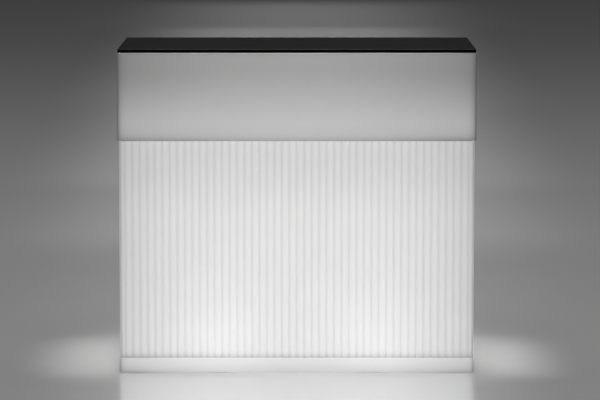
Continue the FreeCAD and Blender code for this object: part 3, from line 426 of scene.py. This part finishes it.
markPaint = {  # pad-printed paint in the marks of the rocker
    "name": "whiteMarkPaint", "colour": "#dcdcd8", "pale": "#e6e6e2", "ior": 1.5,
    "roughness": 0.4, "roughSpread": 0.04, "grainSize": 0.0005, "grainDepth": 0.000004,
}
phenolic = {  # phenolic resin, pressed hot: hard, dark and glossy
    "name": "pressedPhenolic", "colour": "#1c1815", "pale": "#27211d", "ior": 1.6,
    "roughness": 0.2, "roughSpread": 0.05, "grainSize": 0.003, "grainDepth": 0.000006,
}
sheath = {  # extruded soft PVC: a dull skin
    "name": "extrudedPvcSheath", "colour": "#2a2a2b", "pale": "#343435", "ior": 1.54,
    "roughness": 0.55, "roughSpread": 0.05, "grainSize": 0.0012, "grainDepth": 0.00002,
}
ldpe = {  # natural low-density polyethylene: milky and waxy
    "name": "naturalPolyethylenePlug", "colour": "#d5d5ce", "pale": "#e2e2dc", "ior": 1.51,
    "roughness": 0.42, "roughSpread": 0.05, "grainSize": 0.002, "grainDepth": 0.00002,
}


def mouldedPlastic(finish):
    material, tree = newMaterial(finish["name"])
    place = addNode(tree, "ShaderNodeTexCoord", {}, {}).outputs["Object"]
    flow = addNode(tree, "ShaderNodeTexNoise", {}, {
        "Vector": place, "Scale": 1 / flowSize, "Detail": 2.0,
    }).outputs["Fac"]
    colour = addNode(tree, "ShaderNodeMix", {"data_type": "RGBA"}, {
        0: flow, 6: linearColour(finish["colour"]), 7: linearColour(finish["pale"]),
    })
    grain = addNode(tree, "ShaderNodeTexNoise", {}, {
        "Vector": place, "Scale": 1 / finish["grainSize"], "Detail": 2.0, "Roughness": 0.55,
    }).outputs["Fac"]
    moulding = addNode(tree, "ShaderNodeBsdfPrincipled", {}, {
        "Base Color": colour.outputs[2],
        "IOR": finish["ior"],
        **grained(tree, grain, finish, finish["grainDepth"]),
    })
    addNode(tree, "ShaderNodeOutputMaterial", {}, {"Surface": moulding.outputs["BSDF"]})
    return material


# Metals. What worked the surface leaves fine marks along its own direction, which draw the highlight out.
brass = {  # free-cutting brass, turned: warm yellow with fine rings
    "name": "turnedBrass", "colour": "#c9a86a", "pale": "#d9bb80",
    "roughness": 0.3, "roughSpread": 0.08, "streak": (0.004, 0.004, 0.0004), "streakDepth": 0.00001,
}
stainless = {  # stainless steel, rolled and brushed along its length: a cool satin grey
    "name": "brushedStainlessSteel", "colour": "#a9a9a6", "pale": "#bdbdba",
    "roughness": 0.34, "roughSpread": 0.08, "streak": (0.0006, 0.03, 0.0006), "streakDepth": 0.00001,
}
aluminium = {  # pressed aluminium: pale, with soft drawing marks
    "name": "pressedAluminium", "colour": "#cfd0d1", "pale": "#dcdddd",
    "roughness": 0.32, "roughSpread": 0.06, "streak": (0.002, 0.002, 0.0006), "streakDepth": 0.00001,
}


def workedMetal(finish):
    material, tree = newMaterial(finish["name"])
    place = addNode(tree, "ShaderNodeTexCoord", {}, {}).outputs["Object"]
    stretched = addNode(tree, "ShaderNodeVectorMath", {"operation": "DIVIDE"}, {
        0: place, 1: finish["streak"],
    })
    streaks = addNode(tree, "ShaderNodeTexNoise", {}, {
        "Vector": stretched.outputs[0], "Scale": 1.0, "Detail": 3.0, "Roughness": 0.6,
    }).outputs["Fac"]
    colour = addNode(tree, "ShaderNodeMix", {"data_type": "RGBA"}, {
        0: streaks, 6: linearColour(finish["colour"]), 7: linearColour(finish["pale"]),
    })
    metal = addNode(tree, "ShaderNodeBsdfPrincipled", {}, {
        "Base Color": colour.outputs[2],
        "Metallic": 1.0,
        **grained(tree, streaks, finish, finish["streakDepth"]),
    })
    addNode(tree, "ShaderNodeOutputMaterial", {}, {"Surface": metal.outputs["BSDF"]})
    return material


# Hot-dip galvanised steel: the zinc freezes into flat crystals of slightly different grey, the spangle.
zinc = {
    "dark": "#8f9498", "pale": "#b9bdc0",
    "spangleSize": 0.006,
    "roughLow": 0.32, "roughHigh": 0.5,
    "frostSize": 0.0008, "frostDepth": 0.00001,
}


def galvanisedSteel():
    material, tree = newMaterial("galvanisedSteel")
    place = addNode(tree, "ShaderNodeTexCoord", {}, {}).outputs["Object"]
    spangle = addNode(tree, "ShaderNodeTexVoronoi", {}, {"Vector": place, "Scale": 1 / zinc["spangleSize"]})
    tone = addNode(tree, "ShaderNodeRGBToBW", {}, {"Color": spangle.outputs["Color"]}).outputs[0]
    colour = addNode(tree, "ShaderNodeMix", {"data_type": "RGBA"}, {
        0: tone, 6: linearColour(zinc["dark"]), 7: linearColour(zinc["pale"]),
    })
    rough = addNode(tree, "ShaderNodeMapRange", {}, {
        "Value": tone, "To Min": zinc["roughLow"], "To Max": zinc["roughHigh"],
    })
    frost = addNode(tree, "ShaderNodeTexNoise", {}, {
        "Vector": place, "Scale": 1 / zinc["frostSize"], "Detail": 2.0,
    })
    bump = addNode(tree, "ShaderNodeBump", {}, {
        "Height": frost.outputs["Fac"], "Distance": zinc["frostDepth"], "Strength": 1.0,
    })
    coating = addNode(tree, "ShaderNodeBsdfPrincipled", {}, {
        "Base Color": colour.outputs[2],
        "Metallic": 1.0,
        "Roughness": rough.outputs["Result"],
        "Normal": bump.outputs["Normal"],
    })
    addNode(tree, "ShaderNodeOutputMaterial", {}, {"Surface": coating.outputs["BSDF"]})
    return material


# Closed-cell foam: the sliced skin is a field of tiny cups, so it takes the light without any shine.
foam = {
    "dark": "#131314", "pale": "#232324",
    "roughness": 0.95,
    "cellSize": 0.0009,      # real cells are 0.3 mm, drawn coarser to show
    "cellDepth": 0.00012,
    "bulge": 0.0003,         # how far a squeezed edge swells
    "bulgeSteps": 6,
    "cornerSteps": 12,
    "leastCorner": 0.001,    # inner radius of a narrow seal
}


def closedCellFoam():
    material, tree = newMaterial("closedCellFoam")
    place = addNode(tree, "ShaderNodeTexCoord", {}, {}).outputs["Object"]
    cells = addNode(tree, "ShaderNodeTexVoronoi", {}, {
        "Vector": place, "Scale": 1 / foam["cellSize"],
    }).outputs["Distance"]
    colour = addNode(tree, "ShaderNodeMix", {"data_type": "RGBA"}, {
        0: cells, 6: linearColour(foam["dark"]), 7: linearColour(foam["pale"]),
    })
    bump = addNode(tree, "ShaderNodeBump", {}, {
        "Height": cells, "Distance": foam["cellDepth"], "Strength": 1.0,
    })
    slicedFoam = addNode(tree, "ShaderNodeBsdfPrincipled", {}, {
        "Base Color": colour.outputs[2],
        "Roughness": foam["roughness"],
        "Normal": bump.outputs["Normal"],
    })
    addNode(tree, "ShaderNodeOutputMaterial", {}, {"Surface": slicedFoam.outputs["BSDF"]})
    return material


# Opal glass: a milky layer in the glass scatters the light of the filament, so the whole globe glows.
opal = {
    "colour": "#f2f0ea",
    "roughness": 0.15,
    "glowNeck": 0.55,        # the neck sits in the holder's shade
    "glowGlobe": 1.0,
    "neckZ": 0.055, "globeZ": 0.09,
}


def opalGlass():
    material, tree = newMaterial("opalGlass")
    place = addNode(tree, "ShaderNodeTexCoord", {}, {}).outputs["Object"]
    z = addNode(tree, "ShaderNodeSeparateXYZ", {}, {"Vector": place}).outputs["Z"]
    glow = addNode(tree, "ShaderNodeMapRange", {"interpolation_type": "SMOOTHSTEP"}, {
        "Value": z, "From Min": opal["neckZ"], "From Max": opal["globeZ"],
        "To Min": opal["glowNeck"], "To Max": opal["glowGlobe"],
    })
    glass = addNode(tree, "ShaderNodeBsdfPrincipled", {}, {
        "Base Color": linearColour(opal["colour"]),
        "Roughness": opal["roughness"],
        "Emission Color": glow.outputs["Result"],
        "Emission Strength": 1.0,
    })
    addNode(tree, "ShaderNodeOutputMaterial", {}, {"Surface": glass.outputs["BSDF"]})
    return material


finishes = {
    "moulded_polyethylene": litPolyethylene(bodyGlow),
    "black_laminate": pressedLaminate(),
    "foam_seal": closedCellFoam(),
    "brass": workedMetal(brass),
    "stainless_steel": workedMetal(stainless),
    "galvanised_steel": galvanisedSteel(),
    "black_nylon": mouldedPlastic(nylon),
    "black_polycarbonate": mouldedPlastic(polycarbonate),
    "grey_lid": mouldedPlastic(lidPlastic),
    "rocker_plastic": mouldedPlastic(rockerPlastic),
    "lamp_phenolic": mouldedPlastic(phenolic),
    "opal_diffuser": opalGlass(),
    "lamp_aluminium": workedMetal(aluminium),
    "lead_pvc": mouldedPlastic(sheath),
    "natural_ldpe": mouldedPlastic(ldpe),
}
bandPlastic = litPolyethylene(bandGlow)
rockerMarkPaint = mouldedPlastic(markPaint)
for name, obj in nodes.items():
    for i, given in enumerate(obj.data.materials):
        obj.data.materials[i] = bandPlastic if name == "upper_band" else finishes[given.name]
print("materials given")


def roundedLoop(halfU, halfV, radius, steps):  # a rounded rectangle about the middle, as (u, v) pairs
    loop = []
    for turn, (signU, signV) in enumerate(((1, 1), (-1, 1), (-1, -1), (1, -1))):
        for i in range(steps + 1):
            angle = math.pi / 2 * (turn + i / steps)
            u = signU * (halfU - radius) + radius * math.cos(angle)
            v = signV * (halfV - radius) + radius * math.sin(angle)
            loop.append((u, v))
    return loop


def circle(radius, sides):  # (u, v) pairs about the middle
    turns = [2 * math.pi * i / sides for i in range(sides)]
    return [(radius * math.cos(turn), radius * math.sin(turn)) for turn in turns]


def skin(shape, loops, closed=False):  # faces from each loop to the next, then a cap or back to the first
    rings = [[shape.verts.new(point) for point in loop] for loop in loops]
    pairs = list(zip(rings, rings[1:]))
    if closed:
        pairs.append((rings[-1], rings[0]))
    else:
        shape.faces.new(rings[0])
        shape.faces.new(rings[-1])
    for ring, following in pairs:
        for i in range(len(ring)):
            shape.faces.new((ring[i - 1], ring[i], following[i], following[i - 1]))


sharpAngle = 38     # degrees between two faces, beyond which their edge isn't smoothed


def addPiece(name, shape, body, slot, replaced, material=None):
    bmesh.ops.recalc_face_normals(shape, faces=shape.faces[:])
    mesh = bpy.data.meshes.new(name)
    shape.to_mesh(mesh)
    shape.free()
    mesh.shade_smooth()
    mesh.set_sharp_from_angle(angle=math.radians(sharpAngle))
    mesh.materials.append(material or finishes[slot])
    piece = bpy.data.objects.new(name, mesh)
    bpy.context.scene.collection.objects.link(piece)
    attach(piece, body)
    if replaced:
        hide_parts(replaced)
    return piece


# Foam seals, squeezed between two faces so that their edges swell a little.
seals = {
    "bandSealStrip": {"node": "band_seal", "width": (0.010, 0.010), "corner": 0.003, "level": True},
    "lampGasketLeft": {"node": "lamp_gasket_left", "width": (0.014, 0.014), "corner": 0.055, "level": True},
    "lampGasketRight": {"node": "lamp_gasket_right", "width": (0.014, 0.014), "corner": 0.055, "level": True},
    "panelGasketSheet": {"node": "panel_gasket", "width": (0.012, 0.009), "corner": 0.004, "level": False},
}


def foamSeal(name, seal):
    low, high = (Vector(corner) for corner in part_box(seal["node"]))
    middle = (low + high) / 2
    half = (high - low) / 2
    halfV = half.y if seal["level"] else half.z
    thick = 2 * (half.z if seal["level"] else half.y)
    rims = []
    for i in range(foam["bulgeSteps"] + 1):
        share = i / foam["bulgeSteps"]
        rims.append((0.0, share, foam["bulge"] * math.sin(math.pi * share)))
    rims += [(1.0, share, -swell) for _, share, swell in reversed(rims)]
    loops = []
    for inner, share, swell in rims:
        u = half.x - inner * seal["width"][0] + swell
        v = halfV - inner * seal["width"][1] + swell
        corner = max(seal["corner"] - inner * seal["width"][0], foam["leastCorner"])
        radius = min(corner, u, v) if seal["corner"] < u else u
        loop = []
        for a, b in roundedLoop(u, v, radius, foam["cornerSteps"]):
            if seal["level"]:
                loop.append(Vector((middle.x + a, middle.y + b, low.z + share * thick)))
            else:
                loop.append(Vector((middle.x + a, low.y + share * thick, middle.z + b)))
        loops.append(loop)
    shape = bmesh.new()
    skin(shape, loops, closed=True)
    addPiece(name, shape, "counter", "foam_seal", seal["node"])


for name, seal in seals.items():
    foamSeal(name, seal)
print("foam seals made")


# Levelling feet: an M10 stem with a rolled thread, a ball at its foot and a screwdriver slot at its top.
stem = {
    "ball": 0.006,
    "crest": 0.00495,
    "threadPitch": 0.0015,
    "threadDepth": 0.0009,
    "threadStart": 0.002,    # plain neck over the ball
    "rootFlat": 0.12,        # shares of half a thread's pitch
    "flank": 0.76,
    "point": 0.0008,         # bevel at the top end
    "around": 36,
    "ballRings": 16,
    "rowsInTurn": 8,
    "slotHalf": 0.001,
    "slotDepth": 0.003,
}


def threadedStem(name, node, body):
    low, high = (Vector(corner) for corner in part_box(node))
    core = stem["crest"] - stem["threadDepth"]
    ballZ = low.z + stem["ball"]
    rows = []
    neckAngle = math.pi - math.asin(core / stem["ball"])
    for i in range(1, stem["ballRings"] + 1):
        angle = neckAngle * i / stem["ballRings"]
        rows.append((ballZ - stem["ball"] * math.cos(angle), stem["ball"] * math.sin(angle), 0.0))
    start = rows[-1][0] + stem["threadStart"]
    step = stem["threadPitch"] / stem["rowsInTurn"]
    count = math.ceil((high.z - start) / step)
    for i in range(count + 1):
        z = start + (high.z - start) * i / count
        grown = min(1.0, i / stem["rowsInTurn"])
        rows.append((z, core, grown * stem["threadDepth"]))
    loops = []
    for z, radius, depth in rows:
        loop = []
        for i in range(stem["around"]):
            share = ((z - start) / stem["threadPitch"] - i / stem["around"]) % 1
            flank = min(1.0, max(0.0, (1 - abs(2 * share - 1) - stem["rootFlat"]) / stem["flank"]))
            out = min(radius + depth * flank, stem["crest"] - stem["point"] + high.z - z) if depth else radius
            angle = 2 * math.pi * i / stem["around"]
            loop.append(Vector((out * math.cos(angle), out * math.sin(angle), z)))
        loops.append(loop)
    shape = bmesh.new()
    skin(shape, loops)
    bmesh.ops.translate(shape, verts=shape.verts[:], vec=((low.x + high.x) / 2, (low.y + high.y) / 2, 0))
    piece = addPiece(name, shape, body, "galvanised_steel", node)

    cutter = bmesh.new()
    bmesh.ops.create_cube(cutter, size=2.0, matrix=Matrix.LocRotScale(
        Vector(((low.x + high.x) / 2, (low.y + high.y) / 2, high.z)), None,
        Vector((stem["ball"], stem["slotHalf"], stem["slotDepth"])),
    ))
    slotMesh = bpy.data.meshes.new("slotCutter")
    cutter.to_mesh(slotMesh)
    cutter.free()
    slotTool = bpy.data.objects.new("slotCutter", slotMesh)
    bpy.context.scene.collection.objects.link(slotTool)
    cut = piece.modifiers.new("slot", "BOOLEAN")
    cut.object = slotTool
    cut.operation = "DIFFERENCE"
    cut.solver = "EXACT"
    bpy.context.view_layer.update()
    cutMesh = bpy.data.meshes.new_from_object(piece.evaluated_get(bpy.context.evaluated_depsgraph_get()))
    piece.modifiers.clear()
    piece.data = cutMesh
    bpy.data.objects.remove(slotTool)


for corner in ("front_left", "front_right", "rear_left", "rear_right"):
    threadedStem(f"stem_{corner}", f"foot_stem_{corner}", f"foot_{corner}")
print("foot stems made")


# The inlet's lid: a shallow dome with a soft edge, a knuckle round the hinge pin and a ribbed tab to lift it.
lid = {
    "clear": 0.0065,         # hinge line to the lid's wide part
    "thick": 0.004,
    "dome": 0.0011,
    "corner": 0.005,
    "leastCorner": 0.0004,
    "cornerSteps": 8,
    "domeSteps": 12,
    "edge": 0.0012,
    "edgeSteps": 5,
    "knuckle": 0.0032,
    "knuckleSides": 32,
    "bore": 0.00155,
    "knuckleHalf": 0.014,
    "rim": 0.0005,           # bevel of the small edges
    "tongue": 0.004,         # how far the hinge's tongue and the tab lap the plate
    "tabHalf": 0.006,
    "tabThick": 0.006,
    "tabDrop": 0.0035,
    "tabCorner": 0.0018,
    "tabSteps": 6,
    "gripRibs": 3,
    "gripPitch": 0.0016,
    "gripHeight": 0.0004,
    "gripHalf": 0.0004,
    "gripDraft": 0.00015,
    "gripCorner": 0.0002,
    "smallSteps": 3,         # rounding of the tongue and the ribs
}


def inletLid():
    pinLow, pinHigh = (Vector(corner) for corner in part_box("cap_pin"))
    hinge = (pinLow + pinHigh) / 2
    low, high = (Vector(corner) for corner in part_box("inlet_cap"))
    x = (low.x + high.x) / 2
    halfX = (high.x - low.x) / 2
    foot = low.z + lid["tabDrop"]
    top = hinge.z - lid["clear"]
    middle = (foot + top) / 2
    halfZ = (top - foot) / 2
    rim, thick, edge = lid["rim"], lid["thick"], lid["edge"]
    shape = bmesh.new()

    loops = [(rim, 0.0), (0.0, rim), (0.0, thick - edge)]
    for i in range(1, lid["edgeSteps"] + 1):
        turn = math.pi / 2 * i / lid["edgeSteps"]
        loops.append((edge * (1 - math.cos(turn)), thick - edge * (1 - math.sin(turn))))
    for i in range(1, lid["domeSteps"]):
        share = i / lid["domeSteps"]
        loops.append((edge + (halfZ - edge) * share, thick + lid["dome"] * (1 - (1 - share) ** 2)))
    plate = []
    for inset, out in loops:
        radius = max(lid["corner"] - inset, lid["leastCorner"])
        outline = roundedLoop(halfX - inset, halfZ - inset, radius, lid["cornerSteps"])
        plate.append([Vector((x + u, low.y + out, middle + v)) for u, v in outline])
    skin(shape, plate)

    knuckle = []
    half, bore, outer = lid["knuckleHalf"], lid["bore"], lid["knuckle"]
    for along, radius in (
        (-half, bore), (-half, outer - rim), (-half + rim, outer),
        (half - rim, outer), (half, outer - rim), (half, bore),
    ):
        outline = circle(radius, lid["knuckleSides"])
        knuckle.append([Vector((x + along, hinge.y + u, hinge.z + v)) for u, v in outline])
    skin(shape, knuckle, closed=True)

    tongueFoot = top - lid["tongue"]
    tongueTop = hinge.z - bore - rim
    tongue = []
    for inset, out in ((rim, 0.0), (0.0, rim), (0.0, thick - rim), (rim, thick)):
        outline = roundedLoop(half - inset, (tongueTop - tongueFoot) / 2, rim, lid["smallSteps"])
        tongue.append([Vector((x + u, low.y + out, (tongueTop + tongueFoot) / 2 + v)) for u, v in outline])
    skin(shape, tongue)

    tabMiddle = (low.z + foot + lid["tongue"]) / 2
    tabHalfZ = (foot + lid["tongue"] - low.z) / 2
    tab = []
    for inset, out in (
        (rim, 0.0), (0.0, rim), (0.0, lid["tabThick"] - 2 * rim),
        (rim, lid["tabThick"] - rim), (3 * rim, lid["tabThick"] - lid["gripHeight"]),
    ):
        corner = lid["tabCorner"] - inset
        outline = roundedLoop(lid["tabHalf"] - inset, tabHalfZ - inset, corner, lid["tabSteps"])
        tab.append([Vector((x + u, low.y + out, tabMiddle + v)) for u, v in outline])
    skin(shape, tab)
    for k in range(lid["gripRibs"]):
        ribZ = tabMiddle + (k - (lid["gripRibs"] - 1) / 2) * lid["gripPitch"]
        ribFoot = low.y + lid["tabThick"] - 2 * lid["gripHeight"]
        rib = []
        for inset, out in ((0.0, 0.0), (0.0, lid["gripHeight"]), (lid["gripDraft"], 2 * lid["gripHeight"])):
            halfU, halfV = lid["tabHalf"] - 4 * rim - inset, lid["gripHalf"] - inset
            outline = roundedLoop(halfU, halfV, lid["gripCorner"], lid["smallSteps"])
            rib.append([Vector((x + u, ribFoot + out, ribZ + v)) for u, v in outline])
        skin(shape, rib)
    addPiece("inletLid", shape, "inlet_lid", "grey_lid", "inlet_cap")


inletLid()
print("inlet lid made")


# The switch's rocker: two hollowed wings that meet in a soft valley, with the plain marks I and O.
rocker = {
    "pivot": (0.4625, 0.274, 0.0395),
    "halfX": 0.0083, "halfZ": 0.0112,
    "crown": 0.008, "valley": 0.0055, "wingPower": 1.5, "wingSteps": 24,
    "skirt": 0.004, "keel": -0.005, "keelHalf": 0.0067,
    "tipRound": 0.0007, "tipSteps": 5, "sideRound": 0.0006, "sideSteps": 4,
    "trunnion": 0.0015, "trunnionHalf": 0.0098, "trunnionSides": 20,
    "tilt": 10.0,            # degrees, with the upper wing pressed in
    "markAt": 0.0062,        # from the valley out to a mark
    "markRise": 0.00012, "markDeep": 0.0002, "markBevel": 0.00006,
    "markSpan": 0.0001,      # the face's slope under a mark is taken over this, up and down
    "barHalf": 0.0016, "barWidth": 0.0003, "barCorner": 0.0002, "barSteps": 3,
    "ringRadius": 0.0014, "ringWidth": 0.0003, "ringSides": 36,
}


def wingHeight(v):  # the rocker's face over the pivot, at a distance up or down from its valley
    rise = rocker["crown"] - rocker["valley"]
    return rocker["valley"] + rise * (abs(v) / rocker["halfZ"]) ** rocker["wingPower"]


def switchRocker():
    tilt = Matrix.Translation(rocker["pivot"]) @ Matrix.Rotation(math.radians(rocker["tilt"]), 4, "X")
    tip = rocker["halfZ"] - rocker["tipRound"]
    profile = []
    for i in range(rocker["wingSteps"] + 1):
        v = -tip + 2 * tip * i / rocker["wingSteps"]
        profile.append((v, wingHeight(v)))
    tipRound = []
    for i in range(1, rocker["tipSteps"] + 1):
        turn = math.pi / 2 * i / rocker["tipSteps"]
        out = rocker["tipRound"] * math.sin(turn)
        tipRound.append((tip + out, wingHeight(tip) - rocker["tipRound"] * (1 - math.cos(turn))))
    profile += tipRound
    profile += [(rocker["halfZ"], rocker["skirt"]), (rocker["keelHalf"], rocker["keel"])]
    profile += [(-rocker["keelHalf"], rocker["keel"]), (-rocker["halfZ"], rocker["skirt"])]
    profile += [(-v, w) for v, w in reversed(tipRound)]
    shape = bmesh.new()
    slices = []
    turns = [math.pi / 2 * i / rocker["sideSteps"] for i in range(rocker["sideSteps"] + 1)]
    for side in (-1, 1):
        for turn in (turns if side < 0 else reversed(turns)):
            shrink = 1 - rocker["sideRound"] * (1 - math.sin(turn)) / rocker["crown"]
            x = side * (rocker["halfX"] - rocker["sideRound"] * (1 - math.cos(turn)))
            slices.append([tilt @ Vector((x, shrink * w, shrink * v)) for v, w in profile])
    skin(shape, slices)
    trunnion = []
    for along in (-rocker["trunnionHalf"], rocker["trunnionHalf"]):
        outline = circle(rocker["trunnion"], rocker["trunnionSides"])
        trunnion.append([tilt @ Vector((along, u, v)) for u, v in outline])
    skin(shape, trunnion)
    addPiece("rockerBody", shape, "rocker", "rocker_plastic", "switch_rocker")

    marks = bmesh.new()
    span, rise = rocker["markSpan"], rocker["markRise"]
    levels = ((0.0, -rocker["markDeep"]), (0.0, rise / 2), (rocker["markBevel"], rise))
    for sign in (1, -1):
        at = sign * rocker["markAt"]
        slope = math.atan((wingHeight(at + span) - wingHeight(at - span)) / (2 * span))
        seat = tilt @ Matrix.Translation((0, wingHeight(at), at)) @ Matrix.Rotation(-slope, 4, "X")
        mark = []
        if sign > 0:
            for inset, out in levels:
                halfU, halfV = rocker["barWidth"] - inset, rocker["barHalf"] - inset
                outline = roundedLoop(halfU, halfV, rocker["barCorner"], rocker["barSteps"])
                mark.append([seat @ Vector((u, out, v)) for u, v in outline])
        else:
            outer, inner = (rocker["ringRadius"] + side * rocker["ringWidth"] for side in (1, -1))
            walls = [(outer - inset, out) for inset, out in levels]
            walls += [(inner + inset, out) for inset, out in reversed(levels)]
            for radius, out in walls:
                mark.append([seat @ Vector((u, out, v)) for u, v in circle(radius, rocker["ringSides"])])
        skin(marks, mark, closed=sign < 0)
    addPiece("rockerMarks", marks, "rocker", "rocker_plastic", None, rockerMarkPaint)


switchRocker()
print("rocker made")
